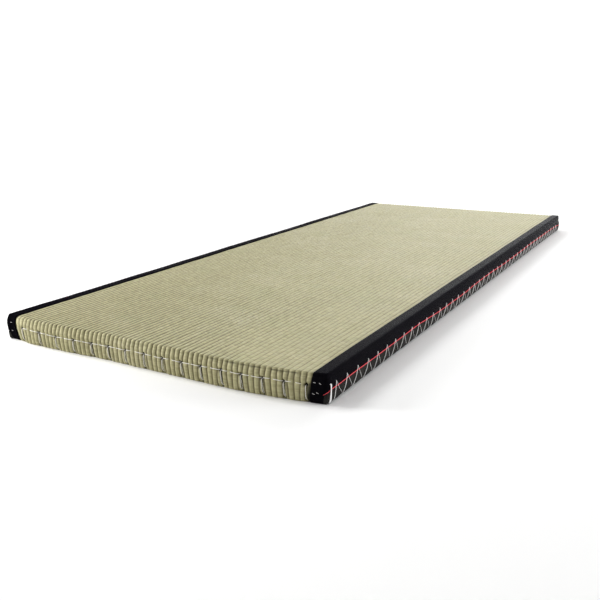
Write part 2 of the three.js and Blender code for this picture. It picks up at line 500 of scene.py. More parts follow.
def build_plain_weave(graph, given):
    """Two sets of yarns that pass over and under each other."""
    place, across, along = graph.woven_place()
    warp = graph.math("DIVIDE", across, given["Yarn Pitch"])
    weft = graph.math("DIVIDE", along, given["Yarn Pitch"])
    step = graph.plus(graph.math("FLOOR", warp), graph.math("FLOOR", weft))
    over = graph.odd(step)
    warp_up = graph.times(graph.hump(warp), over)
    weft_up = graph.times(graph.hump(weft), graph.math("SUBTRACT", 1.0, over))
    height = graph.plus(warp_up, weft_up)
    slub = graph.streaks(across, 12.0, along, 60.0, 3.0)
    # The hollows between the yarns take the darker Low colour: painted shade, varied at random by slubs
    # and faded patches
    share = graph.times(height, graph.remap(slub, 0.25, 0.75, 0.35, 1.0))
    faded = graph.remap(graph.noise(place, 9.0, 3.0), 0.45, 0.75, 0.0, 0.35)
    share = graph.plus(share, faded, clamp=True)
    return {"Color": graph.mix(share, given["Low"], given["Crest"]), "Height": height}


def build_twisted_ply(graph, given):
    """Plies that wind round a thread, with fuzz, and painted shade in the hollows between the plies."""
    place, around, along = graph.woven_place()
    turn = graph.math("DIVIDE", along, given["Lay"])
    phase = graph.scaled(around, given["Plies"], turn)
    height = graph.hump(phase)
    fuzz = graph.noise(place, 900.0, 2.0)
    shade = graph.scaled(fuzz, 0.5, graph.times(height, 0.75))
    # The hollows between the plies take the darker colour as painted shade
    mixed = graph.mix(graph.remap(shade, 0.1, 0.9, 0.55, 0.0), given["Color"], given["Painted Shade"])
    return {"Color": mixed, "Height": height}


def build_handling(graph, given):
    """Pale rub marks and settled dust, in soft patches."""
    place, _, _ = graph.woven_place()
    coarse = graph.noise(place, 5.0, 5.0)
    fine = graph.noise(place, 160.0, 3.0)
    mark = graph.times(graph.remap(coarse, 0.45, 0.75), graph.remap(fine, 0.4, 0.7))
    share = graph.times(mark, given["Amount"])
    return {"Color": graph.mix(share, given["Color"], given["Dust"])}


def socket_kinds(shades, values=()):
    """The kind of each named socket: first those for colours, then those for values."""
    return {**dict.fromkeys(shades, "NodeSocketColor"), **dict.fromkeys(values, "NodeSocketFloat")}


GROUPS = {
    "Woven rush": (
        socket_kinds(
            ("Pale", "Deep", "Green", "Groove Shade", "Dark"),
            ("Painted Shade", "On End", "Open", "Rib Pitch", "Stalk Pitch"),
        ),
        socket_kinds(("Color",), ("Height", "Roughness")),
        build_woven_rush,
    ),
    "Plain weave": (
        socket_kinds(("Low", "Crest"), ("Yarn Pitch",)),
        socket_kinds(("Color",), ("Height",)),
        build_plain_weave,
    ),
    "Twisted ply": (
        socket_kinds(("Color", "Painted Shade"), ("Lay", "Plies")),
        socket_kinds(("Color",), ("Height",)),
        build_twisted_ply,
    ),
    "Handling": (
        socket_kinds(("Color", "Dust"), ("Amount",)),
        socket_kinds(("Color",)),
        build_handling,
    ),
}


def group_node(graph, name, inputs):
    if name not in bpy.data.node_groups:
        shader_group(name, *GROUPS[name])
    return graph.node("ShaderNodeGroup", inputs, node_tree=bpy.data.node_groups[name]).outputs


def opaque(rgb, share=1.0):
    return (*(share * c for c in rgb), 1.0)


def weave(graph, low, crest, pitch):
    """The sockets of a plain weave, with the colours of its hollows and crests."""
    return group_node(graph, "Plain weave", {"Low": low, "Crest": crest, "Yarn Pitch": pitch})


def handled(graph, shade, dust, amount):
    """A colour with rub marks and settled dust over it."""
    inputs = {"Color": shade, "Dust": opaque(dust), "Amount": amount}
    return group_node(graph, "Handling", inputs)["Color"]


def finish(name, build, **constants):
    """A material. build gets its graph and returns what feeds Base Color, Roughness and the bump."""
    if name in bpy.data.materials:
        return bpy.data.materials[name]
    material = bpy.data.materials.new(name)
    material.use_nodes = True
    graph = Graph(material.node_tree)
    shader = material.node_tree.nodes["Principled BSDF"]
    for socket, value in constants.items():
        shader.inputs[socket.replace("_", " ")].default_value = value
    made = build(graph)
    graph.put(shader.inputs["Base Color"], made["Color"])
    if "Roughness" in made:
        graph.put(shader.inputs["Roughness"], made["Roughness"])
    if "Height" in made:
        bump = {"Height": made["Height"], "Strength": 1.0, "Distance": made["Depth"]}
        graph.put(shader.inputs["Normal"], graph.node("ShaderNodeBump", bump).outputs[0])
    return material


def rush_finish():
    def build(graph):
        shades = colours()
        inputs = {
            "Pale": opaque(shades.pale_rush),
            "Deep": opaque(shades.deep_rush),
            "Green": opaque(shades.green_rush),
            "Groove Shade": opaque(shades.groove),
            # Dark is the colour of painted shadow in the stitch holes, the slot and the crease
            "Dark": opaque(shades.groove, 0.05),
            "Painted Shade": graph.attribute("painted_shade"),
            "On End": graph.attribute("on_end"),
            "Open": graph.attribute("open_grooves"),
            "Rib Pitch": rib_pitch(),
            "Stalk Pitch": sizes().stalk,
        }
        rush = group_node(graph, "Woven rush", inputs)
        dusty = graph.scaled(graph.attribute("painted_shade"), -0.35, 0.35)
        mixed = handled(graph, rush["Color"], (0.62, 0.59, 0.44), dusty)
        feeds = {"Color": mixed, "Roughness": rush["Roughness"]}
        return {**feeds, "Height": rush["Height"], "Depth": 0.6 * MM}

    return finish("rush facing", build, Specular_IOR_Level=0.35)


def backing_finish():
    def build(graph):
        shade = colours().backing
        # The hollows between the straws are painted in shade at 0.45 of the backing's colour
        straw = weave(graph, opaque(shade, 0.45), opaque(shade), 3.2 * MM)
        mixed = handled(graph, straw["Color"], (0.42, 0.39, 0.30), 0.3)
        return {"Color": mixed, "Height": straw["Height"], "Depth": 0.5 * MM}

    return finish("straw backing", build, Roughness=0.8, Specular_IOR_Level=0.25)


def cloth_finish(side):
    """The borders' black cloth. The left border's copy shines less so that it looks darker: a shaded
    copy of the same cloth, as painted shade.
    """

    def build(graph):
        shades = colours()
        upper = weave(graph, opaque(shades.cloth), opaque(shades.cloth_light), 0.55 * MM)
        lower = weave(graph, opaque(shades.selvage), opaque(shades.selvage_light), 1.1 * MM)
        share = graph.remap(graph.attribute("below_cord"), 0.0, 1.0 * MM)
        mixed = graph.mix(share, upper["Color"], lower["Color"])
        height = graph.scaled(share, 0.8, 0.5)
        height = graph.times(height, upper["Height"])
        mixed = handled(graph, mixed, (0.04, 0.038, 0.042), 0.1)
        return {"Color": mixed, "Height": height, "Depth": 0.16 * MM}

    # Less shine and sheen on the left copy: painted shade on the left border
    sheen, shine = (0.009, 0.0021) if side > 0 else (0.003, 0.0002)
    cloth = {"Sheen_Weight": sheen, "Sheen_Roughness": 0.35, "Sheen_Tint": (0.35, 0.28, 1.0, 1.0)}
    name = "border cloth right" if side > 0 else "border cloth left"
    return finish(name, build, Roughness=0.17, Specular_IOR_Level=shine, **cloth)


def thread_finish(name, shade, lay, painted_shade=0.45):
    def build(graph):
        # The hollows between the plies are painted in shade, at that share of the thread's colour
        inputs = {"Color": opaque(shade), "Painted Shade": opaque(shade, painted_shade), "Lay": lay, "Plies": 2.0}
        ply = group_node(graph, "Twisted ply", inputs)
        return {"Color": ply["Color"], "Height": ply["Height"], "Depth": 0.25 * MM}

    return finish(name, build, Roughness=0.6, Specular_IOR_Level=0.35)


# The rush facing


def rib_pitch():
    return (inner_edge(1, THICKNESS) + inner_edge(-1, THICKNESS)) / sizes().ribs


RIB_PHASES = np.array([0.0, 0.13, 0.31, 0.50, 0.69, 0.87])
FOOT_ROWS = 4
WALL_ROWS = {-1: 32, 1: 15}
ROUNDING_ROWS = 9
TOP_ROWS = 136
ROW_CROWDING = 1.35

# Lumps of single ribs, and the slow swell of the whole facing
LUMP = 0.35 * MM
SWELL = 0.9 * MM

# How deep the end's stitching presses the facing in: along its line, at a hole, at a tie, at a tie's
# foot, and in the slot and the crease beside the right border
SEAM_DEPTH = 0.7 * MM
HOLE_DEPTH = 6 * MM
TIE_DEPTH = 1.4 * MM
TUCK_DEPTH = 5 * MM
SLOT_DEPTH = 7 * MM
CREASE_DEPTH = 1.0 * MM


def end_outline(end, x):
    """The facing's outline at an end from foot to top, for each place across: how far it lies in,
    its height, and the shares of outward and upward in the way that it faces."""
    radius, wall_rows = facing_rounding(x), WALL_ROWS[end]
    foot = np.linspace(0, 1, FOOT_ROWS, endpoint=False)[:, None] * math.pi / 2
    wall = np.linspace(0, 1, wall_rows, endpoint=False)[:, None]
    top = np.linspace(0, 1, ROUNDING_ROWS)[:, None] * math.pi / 2
    level = np.ones((1, len(x)))
    foot_z = FOOT_ROUNDING * (1 - np.cos(foot)) * level
    wall_z = FOOT_ROUNDING + wall * (THICKNESS - radius - FOOT_ROUNDING)
    top_z = THICKNESS - radius * (1 - np.sin(top))
    z = np.concatenate([foot_z, wall_z, top_z])
    outward = np.concatenate([np.sin(foot), np.ones((wall_rows, 1)), np.cos(top)]) * level
    upward = np.concatenate([np.zeros((FOOT_ROWS + wall_rows, 1)), np.sin(top)]) * level
    return wall_inset(z, radius), z, outward, upward


def ties(end):
    """Place and height of each hole of the stitching across an end."""
    if end < 0:
        return NEAR_TIES * MM
    draw = np.random.RandomState(11)
    place = np.linspace(-355, 352, len(NEAR_TIES)) + draw.uniform(-2.5, 2.5, len(NEAR_TIES))
    return np.stack([place, draw.uniform(31, 34, len(NEAR_TIES))], axis=1) * MM


def seam_level(end, x):
    """Height of the stitching across an end."""
    holes = ties(end)
    return np.interp(x, holes[:, 0], holes[:, 1])


def seam_dents(end, x, z):
    """How deep the stitching draws the facing in, and how much painted shade it gets there, from 0 to
    1.
    """
    level = seam_level(end, x)
    depth = SEAM_DEPTH * bell(z - level - 1.5 * MM, 3.5 * MM)
    painted_shade = np.zeros_like(depth)
    for tie, height in ties(end):
        hole = bell(x - tie, 3.2 * MM) * bell(z - height, 3.0 * MM)
        below = smoothstep(height + 3 * MM, height, z)
        strand = bell(x - tie, 2.6 * MM) * below
        tuck = bell(x - tie, 7 * MM) * smoothstep(10 * MM, 0, z)
        depth = depth + HOLE_DEPTH * hole + TIE_DEPTH * strand + TUCK_DEPTH * tuck
        # Painted shadow in each hole, and painted shade in a strip right of each tie from the hole down
        dark = 2.0 * bell(x - tie - 0.3 * MM, 3.4 * MM) * bell(z - height + 0.9 * MM, 3.0 * MM)
        shadow = bell(x - tie - 2.4 * MM, 1.7 * MM) * below
        painted_shade = np.maximum(painted_shade, np.maximum(dark, shadow))
    if end < 0:
        slot = smoothstep(6 * MM, 3.2 * MM, inner_edge(1, z) - x) * smoothstep(38 * MM, 35 * MM, z)
        broken = smoothstep(-0.3, 0.3, Noise(14)(x * 95))
        crease = smoothstep(60 * MM, 200 * MM, x) * bell(z - 52.5 * MM, 1.4 * MM) * broken
        depth = depth + SLOT_DEPTH * slot + CREASE_DEPTH * crease
        # Painted shadow in the slot beside the right border, and painted shade along the crease
        painted_shade = np.maximum(painted_shade, np.maximum(slot, 0.6 * crease))
    return depth, np.minimum(painted_shade, 1)


def seam_pinch(end, x, z):
    """How far each tie pulls the ribs beside it towards its hole."""
    shift = np.zeros(np.broadcast(x, z).shape)
    for tie, height in ties(end):
        near = bell(x - tie, 13 * MM) * bell(z - height, 10 * MM)
        shift = shift - 0.24 * (x - tie) * near
    return shift


def groove_openness(x, y):
    """How open the grooves on top are, pressed nearly shut at the near right corner, and how strong
    their painted shade is, strongest at the near left.
    """
    places = np.array([-370, -100, 60, 230]) * MM
    near = np.interp(x, places, (3.3, 2.3, 1.6, 0.8))
    beyond = np.interp(x, places, (2.0, 1.3, 1.1, 1.0))
    return near + (beyond - near) * smoothstep(-950 * MM, -400 * MM, y)


def facing_columns():
    """Across the facing: each rib's own points, as rib and phase, and the last groove."""
    ribs = sizes().ribs
    rib = np.repeat(np.arange(ribs), len(RIB_PHASES)).astype(float)
    phase = np.tile(RIB_PHASES, ribs)
    return np.append(rib, ribs), np.append(phase, 0.0)


def facing_grid():
    """Points of the facing, row by row from the near foot over the top to the far foot."""
    rib, phase = facing_columns()
    pitch, ribs = rib_pitch(), sizes().ribs
    left = -inner_edge(-1, THICKNESS)
    even_x = left + (rib + phase) * pitch
    relief_noise, wander_noise = Noise(3), Noise(5)

    # Near end from its foot up, the top with its rows closest at the near end, and the far end down
    level = np.ones((TOP_ROWS, len(even_x)))
    top_share = np.linspace(0, 1, TOP_ROWS + 2)[1:-1] ** ROW_CROWDING
    near, far = end_outline(-1, even_x), end_outline(1, even_x)
    tops = (0 * level, THICKNESS * level, 0 * level, level)
    inset, z, outward, upward = (
        np.concatenate([low, top, high[::-1]]) for low, top, high in zip(near, tops, far)
    )
    counts = len(near[0]), TOP_ROWS, len(far[0])
    rows = sum(counts)
    ends = np.repeat([-1, 0, 1], counts)
    share = np.concatenate([np.zeros(counts[0]), top_share, np.ones(counts[2])])
    flat = BULGE + facing_rounding(even_x)
    start = near_line(even_x)
    y = np.where(ends[:, None] < 0, start + inset, FAR_END - inset)
    on_top = start + flat + share[:, None] * (FAR_END - start - 2 * flat)
    y = np.where(ends[:, None] == 0, on_top, y)
    middle = len(even_x) // 2
    steps = np.hypot(np.diff(y[:, middle]), np.diff(z[:, middle]))
    along = np.concatenate([[0], np.cumsum(steps)])

    # Each groove wanders a little, and the points of a rib lie between its two grooves
    grooves = np.arange(ribs + 1)
    wander = wander_noise(grooves[None, :] * 1.7, along[:, None] * 9) * 0.60 * MM
    wander += wander_noise(grooves[None, :] * 1.7 + 40, along[:, None] * 45) * 0.35 * MM
    wander *= 1 - 0.35 * outward[:, :1]
    wander[:, [0, -1]] = 0
    this = rib.astype(int)
    after = np.minimum(this + 1, ribs)
    shift = wander[:, this] * (1 - phase) + wander[:, after] * phase
    x = even_x + shift

    # Down the ends, the outermost ribs are squeezed to the slant of the borders' edges
    for side in (-1, 1):
        edge = inner_edge(side, THICKNESS)
        lean = (inner_edge(side, z) - edge) * side
        x += lean * smoothstep(edge - 34 * MM, edge, x * side) * smoothstep(0, 1, outward)

    dents, painted_shade = np.zeros_like(x), np.zeros_like(x)
    for end in (-1, 1):
        chosen = ends == end
        x[chosen] += seam_pinch(end, x[chosen], z[chosen])
        dents[chosen], painted_shade[chosen] = seam_dents(end, x[chosen], z[chosen])

    crown = 1 - np.abs(2 * phase - 1) ** (2.2 - 0.3 * outward)
    groove = np.floor(rib + phase + 0.5).astype(int)
    gain = 1 + 0.13 * np.random.RandomState(21).uniform(-1, 1, ribs + 2)[groove]
    gain = gain + (0.12 - 0.06 * outward) * (1 - 2 * (groove % 2))
    uneven = 0.38 - 0.18 * outward
    gain = gain * (1 + uneven * relief_noise(groove[None, :] * 3.1, along[:, None] * 40))
    open_grooves = groove_openness(even_x, y)
    relief = sizes().top_relief * np.minimum(open_grooves, 1.45)
    relief = relief + (sizes().end_relief - relief) * outward
    drop = FACING_SINK + relief * (1 - crown) * gain
    lump = LUMP * relief_noise(rib[None, :] * 2.3 + 90, along[:, None] * 70) * crown
    swell = SWELL * slow_swell(x, along[:, None])
    down = drop + (swell - lump) * upward
    inward = (drop + dents - lump * 1.2) * outward
    z = z - down * upward
    y = y + np.where(ends < 0, 1, np.where(ends > 0, -1, 0))[:, None] * inward
    points = np.stack([x, y, z], axis=-1)
    place = np.stack(np.broadcast_arrays((rib + phase) * pitch, along[:, None]), axis=-1)
    # Down the ends the grooves get darker and wider painted shade, a little more towards the right
    on_end = outward * (0.78 + 0.22 * smoothstep(-370 * MM, 60 * MM, even_x))
    # How strong the grooves' painted shade is: the openness on top, easing to 0.9 down the ends
    shaded = open_grooves + (0.9 - open_grooves) * outward
    masks = np.stack([painted_shade, on_end, shaded], axis=-1)
    edges = [np.stack([outward[:, k], upward[:, k]]) for k in (0, -1)]
    return points, place, masks, rows, edges


def under_border(points, edges, side):
    """Columns that carry the mat on below a border's cloth, from its inner edge outwards."""
    edge = points[:, -1 if side > 0 else 0].copy()
    outward, upward = edges[1 if side > 0 else 0]
    tuck = 1.3 * CLOTH + 0.4 * MM
    spread = np.array([(1.5, 1.0), (12, 1.0), (22, 1.0), (25.5, 4.5)]) * (MM, 1)
    spread[2:, 0] += LEFT_FULLNESS * (side < 0)
    columns = []
    for across, sunk in spread:
        column = edge.copy()
        column[:, 0] = (inner_edge(side, THICKNESS) + across) * side
        middle = (LOW.y + HIGH.y) / 2
        column[:, 1] += np.sign(middle - column[:, 1]) * tuck * sunk * outward
        column[:, 2] -= tuck * sunk * upward
        foot = np.clip(1 - column[:, 2] / (2 * tuck * sunk), 0, 1) * tuck * sunk
        column[:, 2] += foot
        columns.append(column)
    return columns if side > 0 else columns[::-1]


def woven_mat():
    """The mat as one closed mesh: ribbed facing, flat backing, and its sides below the borders."""
    points, place, masks, rows, edges = facing_grid()
    left = under_border(points, edges, -1)
    right = under_border(points, edges, 1)
    points = np.concatenate([np.stack(left, 1), points, np.stack(right, 1)], axis=1)
    beside = ((0, 0), (len(left), len(right)), (0, 0))
    place, masks = np.pad(place, beside, "edge"), np.pad(masks, beside, "edge")
    columns = points.shape[1]

    quads = grid_faces(rows, columns, wrap=True)
    flat_place = place.reshape(-1, 2)
    corner_place = flat_place[quads]
    under = np.arange(len(quads)) >= (rows - 1) * (columns - 1)
    vertices = points.reshape(-1, 3)
    corner_place[under] = vertices[quads[under]][..., :2]
    caps = [[r * columns for r in range(rows)], [r * columns + columns - 1 for r in range(rows)]]
    cap_place = [vertices[cap][:, 1:] for cap in caps]
    corners = np.concatenate([corner_place.reshape(-1, 2), *cap_place])
    values = {"painted_shade": masks[..., 0], "on_end": masks[..., 1], "open_grooves": masks[..., 2]}
    mesh = mesh_from("woven_mat", vertices, quads.tolist() + caps, {"weave": corners}, values)
    is_backing = np.concatenate([under, [True, True]])
    mesh.polygons.foreach_set("material_index", is_backing.astype(np.int32))
    mesh.polygons.foreach_set("use_smooth", ~is_backing)
    face_outwards(mesh)
    return new_object("woven_mat", mesh, [rush_finish(), backing_finish()])


# The cloth borders

ARC = CORNER_RADIUS * math.pi / 2
TIE_HEIGHT = 39.5 * MM
SIDE_START = NEAR_CORNERS + CORNER_RADIUS
SIDE_LENGTH = FAR_END - CORNER_RADIUS - SIDE_START
EDGE_STEPS = np.array([0, 0.4, 1.2, 3, 6, 10, 15, 20]) * MM
SIDE_COLUMNS = 440
CORNER_COLUMNS = 8
FOOT_STEPS = 5
WALL_STEPS = 24
ROUNDING_STEPS = 8

# How the cloth stands out and is drawn in: long and short folds, the crease under the cord, the
# fullness below it, the pull of a stitch's foot, the dimple of its upper point, and the far corner
FOLD = 0.55 * MM
SHORT_FOLD = 0.22 * MM
CORD_CREASE = 0.7 * MM
PUFF = 0.5 * MM
FOOT_PULL = 1.1 * MM
DIMPLE = 1.0 * MM
FAR_CORNER_DIP = 3.2 * MM


def plan_point(side, along, inset):
    """A point of a border's upright face in plan. along is 0 where the long side starts, after the
    near corner. Below 0 it runs round that corner and along the near end, and past the side's
    length it does so at the far end."""
    along = np.asarray(along, float)
    to_near, to_far = -along, along - SIDE_LENGTH
    past = np.maximum(np.maximum(to_near, to_far), 0)
    turn = np.clip(past / ARC, 0, 1) * math.pi / 2
    run = np.maximum(past - ARC, 0)
    end = np.where(to_near > 0, -1.0, np.where(to_far > 0, 1.0, 0.0))
    x = HALF_WIDTH - CORNER_RADIUS + CORNER_RADIUS * np.cos(turn) - run
    y = SIDE_START + np.clip(along, 0, SIDE_LENGTH) + end * CORNER_RADIUS * np.sin(turn)
    bow = through(NEAR_END_BOW, x * side) * smoothstep(0, 0.5, np.sin(turn)) * (end < 0)
    x = x - inset * np.cos(turn)
    y = y - bow - end * inset * np.sin(turn)
    if side < 0:
        # The near left corner is folded more sharply, and its cloth stands a little proud
        sharper = (CORNER_RADIUS - NEAR_LEFT_RADIUS) * (math.sqrt(2) - 1) / math.sqrt(2) * 1.3
        push = sharper * np.sin(2 * turn) * (end < 0)
        proud = 1.6 * MM * smoothstep(120 * MM, 0, y - NEAR_CORNERS) * smoothstep(30 * MM, 8 * MM, run)
        x = x + push + proud + LEFT_FULLNESS * np.cos(turn)
        y = y - push
    return x * side, y


def seam_place(side, along):
    """The place in the seams' tables for a place along a side. The left side is sewn the other way."""
    place = SIDE_START + np.asarray(along, float)
    return place if side > 0 else NEAR_CORNERS + FAR_END - place


def cord_line(side, along):
    """Height of the red cord along a side, which slants down as it passes round a corner."""
    past = np.maximum(np.maximum(-along, along - SIDE_LENGTH), 0)
    return through(CORD_LINE, seam_place(side, along)) - 0.55 * past


def stitches(side):
    """Each zigzag stitch along a side: its near foot, upper point and far foot."""
    draw = np.random.RandomState(50 + side)
    start = FIRST_STITCHES[-1, 1] * MM + sizes().stitch_pitch
    point = np.arange(start, SIDE_LENGTH - 24 * MM, sizes().stitch_pitch)
    point = point + draw.uniform(-1.6, 1.6, len(point)) * MM
    near = point - (12.5 + draw.uniform(-2.5, 2.5, len(point))) * MM
    far = point + (20 + draw.uniform(-2, 2, len(point))) * MM
    all_stitches = np.concatenate([FIRST_STITCHES * MM, np.stack([near, point, far], axis=1)])
    return all_stitches if side > 0 else (SIDE_LENGTH - all_stitches)[::-1, ::-1]


def cloth_swell(side, along, girth, z):
    """How far the cloth stands out: soft folds, the crease of the cord and the pull of the stitches."""
    folds = FOLD * Noise(60 + side)(along * 9 + girth * 20, girth * 45)
    folds = folds + SHORT_FOLD * Noise(64 + side)(along * 38 - girth * 60, girth * 70)
    line = cord_line(side, along)
    crease = -CORD_CREASE * bell(z - line, 2.2 * MM)
    below = smoothstep(0, -4 * MM, z - line)
    sewn = stitches(side)
    nearest = np.abs(along[..., None] - sewn[:, 1]).min(axis=-1)
    to_foot = np.abs(along[..., None] - sewn[:, [0, 2]].ravel()).min(axis=-1)
    puffed = below * PUFF * smoothstep(0, 4 * MM, z)
    pulled = -FOOT_PULL * bell(to_foot, 7 * MM) * smoothstep(12 * MM, 0, z)
    peak = through(ZIGZAG_LINE, seam_place(side, along))
    dimple = -DIMPLE * bell(nearest, 3.5 * MM) * bell(z - peak, 3.5 * MM)
    beside_corner = bell(along - SIDE_LENGTH - 6 * MM, 24 * MM)
    far_corner = -FAR_CORNER_DIP * beside_corner * bell(z - 40 * MM, 8 * MM)
    return folds + crease + puffed + pulled + dimple + far_corner * (side > 0)


def border_cloth(name, side):
    """One border: cloth over the top's edge, down the side, round both corners and under the foot."""
    foot = np.linspace(0, 1, FOOT_STEPS) * math.pi / 2
    top = np.linspace(0, 1, ROUNDING_STEPS) * math.pi / 2
    foot_z = FOOT_ROUNDING * (1 - np.cos(foot))
    top_z = THICKNESS - BORDER_ROUNDING * (1 - np.sin(top))
    wall_z = np.linspace(FOOT_ROUNDING, THICKNESS - BORDER_ROUNDING, WALL_STEPS)[1:-1]
    z = np.concatenate([foot_z, wall_z, top_z])
    inset = wall_inset(z, BORDER_ROUNDING)
    outward = np.concatenate([np.sin(foot), np.ones(len(wall_z)), np.cos(top)])
    upward = np.concatenate([-np.cos(foot), np.zeros(len(wall_z)), np.sin(top)])

    # Upright part: columns along the plan outline, from edge to edge of the cloth
    end_run = HALF_WIDTH - CORNER_RADIUS - inner_edge(side, z)
    first = -(ARC + end_run)[:, None] + EDGE_STEPS * (end_run[:, None] / (21 * MM))
    corner = np.linspace(-ARC, 0, CORNER_COLUMNS)[None, :] * np.ones((len(z), 1))
    middle = np.linspace(0, SIDE_LENGTH, SIDE_COLUMNS)[None, 1:-1] * np.ones((len(z), 1))
    along = np.concatenate(
        [first, corner, middle, SIDE_LENGTH - corner[:, ::-1], SIDE_LENGTH - first[:, ::-1]], axis=1
    )
    girth = np.concatenate([[0], np.cumsum(np.hypot(np.diff(inset), np.diff(z)))])
    girth = (girth[-1] - girth + TOP_STRIP)[:, None] * np.ones_like(along)
    height = z[:, None] * np.ones_like(along)
    swell = cloth_swell(side, along, girth, height)
    to_edge = np.minimum(along - along[:, :1], along[:, -1:] - along)
    turned_in = 0.8 * MM * np.clip(1 - to_edge / (1.2 * MM), 0, 1) ** 2
    lift = swell * smoothstep(0, 6 * MM, to_edge) - turned_in
    x, y = plan_point(side, along, inset[:, None] - lift * outward[:, None])
    zz = height + lift * upward[:, None] * (upward[:, None] > 0)
    wall = np.stack([x, y, zz], axis=-1)

    # Flat parts: from the rim of the upright part to the cloth's inner edge, on top and below
    columns = along.shape[1]
    middle_line = np.linspace(0, 1, columns)
    start_y = near_line(inner_edge(side, THICKNESS) * side) + EDGE_MARGIN
    inner_y = start_y + middle_line * (FAR_END - EDGE_MARGIN - start_y)

    def strip(rim, level, shares, rim_girth, sign):
        wander = 0.8 * MM * (1 + Noise(68 + side)(inner_y * 10)) * (level > 0)
        edge = inner_edge(side, level) - wander * smoothstep(0, 60 * MM, inner_y - start_y)
        inner = np.stack([edge * side, inner_y, np.full(columns, level)], -1)
        rows = rim[None] + shares[:, None, None] * (inner - rim)[None]
        width = np.abs(rim[columns // 2, 0]) - edge[columns // 2]
        off_edge = np.abs(rows[..., 0]) - edge
        strip_girth = rim_girth + sign * (width - off_edge)
        along_here = rows[..., 1] - SIDE_START
        if level > 0:
            soft = cloth_swell(side, along_here, strip_girth, np.full(off_edge.shape, level))
            rows[..., 2] += soft * smoothstep(0, 6 * MM, off_edge)
            rows[..., 2] -= 0.9 * MM * np.clip(1 - off_edge / (1.3 * MM), 0, 1) ** 2
        return rows, np.stack([strip_girth, along_here], axis=-1)

    shares = np.array([0.12, 0.3, 0.5, 0.68, 0.82, 0.91, 0.95, 0.985, 1.0])
    top_rows, top_place = strip(wall[-1], THICKNESS, shares, girth[-1, 0], -1)
    foot_rows, foot_place = strip(wall[0], 0.0, shares[::2], girth[0, 0], 1)
    wall_place = np.stack([girth, along], axis=-1)
    points = np.concatenate([foot_rows[::-1], wall, top_rows])
    place = np.concatenate([foot_place[::-1], wall_place, top_place])
    round_corner = np.maximum(-place[..., 1], place[..., 1] - SIDE_LENGTH) / ARC
    on_end = 40 * MM * smoothstep(0.85, 1.3, round_corner)
    below = cord_line(side, place[..., 1]) - points[..., 2] - on_end

    rows = points.shape[0]
    quads = grid_faces(rows, columns)
    corners = place.reshape(-1, 2)[quads].reshape(-1, 2)
    mesh = mesh_from(
        name, points.reshape(-1, 3), quads.tolist(), {"weave": corners}, {"below_cord": below}
    )
    made = new_object(name, mesh, [cloth_finish(side)])
    thicken = made.modifiers.new("Cloth thickness", "SOLIDIFY")
    thicken.thickness = CLOTH
    thicken.offset = -side
    bpy.context.view_layer.objects.active = made
    bpy.ops.object.modifier_apply(modifier=thicken.name)

    # Nothing of the cloth goes below the floor
    for vertex in made.data.vertices:
        vertex.co.z = max(vertex.co.z, 0)
    face_outwards(made.data)
    return made


# Threads


def smooth_route(points, step):
    """Points along a smooth curve through the given ones, about a step apart."""
    points = np.asarray(points, float)
    padded = np.concatenate([[2 * points[0] - points[1]], points, [2 * points[-1] - points[-2]]])
    route = []
    for a, b, c, d in zip(padded, padded[1:], padded[2:], padded[3:]):
        count = max(2, int(np.linalg.norm(c - b) / step))
        t = np.linspace(0, 1, count, endpoint=False)[:, None]
        bend, twist = 2 * a - 5 * b + 4 * c - d, 3 * b - a - 3 * c + d
        route.append(0.5 * (2 * b + (c - a) * t + bend * t**2 + twist * t**3))
    return np.concatenate([*route, points[-1:]])


class Threads:
    """Round threads gathered into one mesh."""

    SIDES = 7
    STEP = 1.6 * MM
    END_TAPER = 0.55

    # A direction that no thread runs along
    GUIDE = np.array([0.31, 0.17, 0.93])

    def __init__(self):
        self.vertices, self.faces, self.corners = [], [], []
        self.count = 0

    def add(self, points, radius, step=STEP):
        route = smooth_route(points, step)
        ahead = np.gradient(route, axis=0)
        ahead /= np.linalg.norm(ahead, axis=1, keepdims=True)
        across = np.cross(ahead, self.GUIDE)
        across /= np.linalg.norm(across, axis=1, keepdims=True)
        other = np.cross(ahead, across)
        turn = (np.arange(self.SIDES) / self.SIDES * 2 * math.pi)[None, :, None]
        ring = np.cos(turn) * across[:, None] + np.sin(turn) * other[:, None]
        taper = np.ones(len(route))
        taper[[0, -1]] = self.END_TAPER
        tube = route[:, None] + ring * (radius * taper)[:, None, None]
        run = np.concatenate([[0], np.cumsum(np.linalg.norm(np.diff(route, axis=0), axis=1))])
        for k in range(len(route) - 1):
            for i in range(self.SIDES):
                j = (i + 1) % self.SIDES
                a, b = self.count + k * self.SIDES, self.count + (k + 1) * self.SIDES
                self.faces.append([a + i, a + j, b + j, b + i])
                u, v = i / self.SIDES, (i + 1) / self.SIDES
                self.corners += [(u, run[k]), (v, run[k]), (v, run[k + 1]), (u, run[k + 1])]
        last = self.count + (len(route) - 1) * self.SIDES
        self.faces.append([self.count + i for i in range(self.SIDES)])
        self.faces.append([last + i for i in range(self.SIDES)])
        self.corners += [(0.0, 0.0)] * (2 * self.SIDES)
        self.vertices.append(tube.reshape(-1, 3))
        self.count += len(route) * self.SIDES

    def made(self, name, material):
        mesh = mesh_from(
            name, np.concatenate(self.vertices), self.faces, {"weave": np.array(self.corners)}
        )
        face_outwards(mesh)
        return new_object(name, mesh, [material])


def on_side(side, along, z, lift):
    """A point over the upright face of a border, lifted off its cloth."""
    along, z = float(along), float(z)
    inset = wall_inset(np.array(z), BORDER_ROUNDING)
    girth = THICKNESS - z + TOP_STRIP
    swell = cloth_swell(side, np.array(along), girth, np.array(z))
    x, y = plan_point(side, along, inset - swell - lift)
    return float(x), float(y), z


def over(face, which, rows):
    """Points over a side or an end, from rows of place, height and lift."""
    return [face(which, *row) for row in rows]


